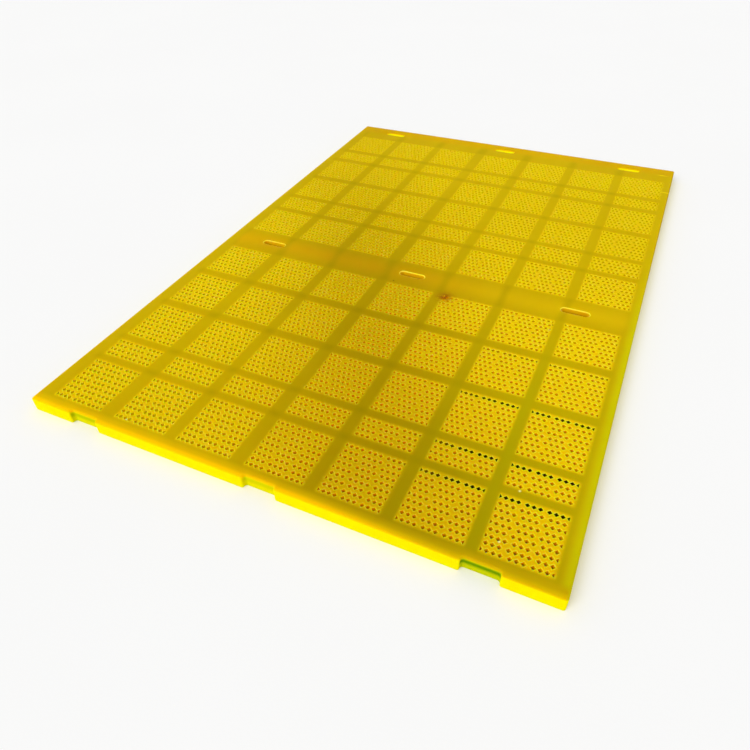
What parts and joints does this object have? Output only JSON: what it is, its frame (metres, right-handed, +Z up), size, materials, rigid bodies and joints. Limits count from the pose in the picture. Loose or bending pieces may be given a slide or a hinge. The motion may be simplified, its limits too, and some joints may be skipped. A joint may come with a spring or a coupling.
{
  "type": "polyurethane screen panel",
  "caption": "Rectangular cast screen panel: perforated fields between ribs, with slots for fixing bolts and open notches in one edge.",
  "frame": {"origin": "middle of the underside, which lies flat on the deck", "axes": "+Z up through the panel, +Y along its length from the notched edge to the edge beside the slots, +X to the right"},
  "size_m": [1.2, 1.776, 0.034],
  "materials": {
    "polyurethane": "smooth cast, slightly translucent"
  },
  "bodies": {
    "root": {"screen_panel": "polyurethane"}
  },
  "joints": []
}
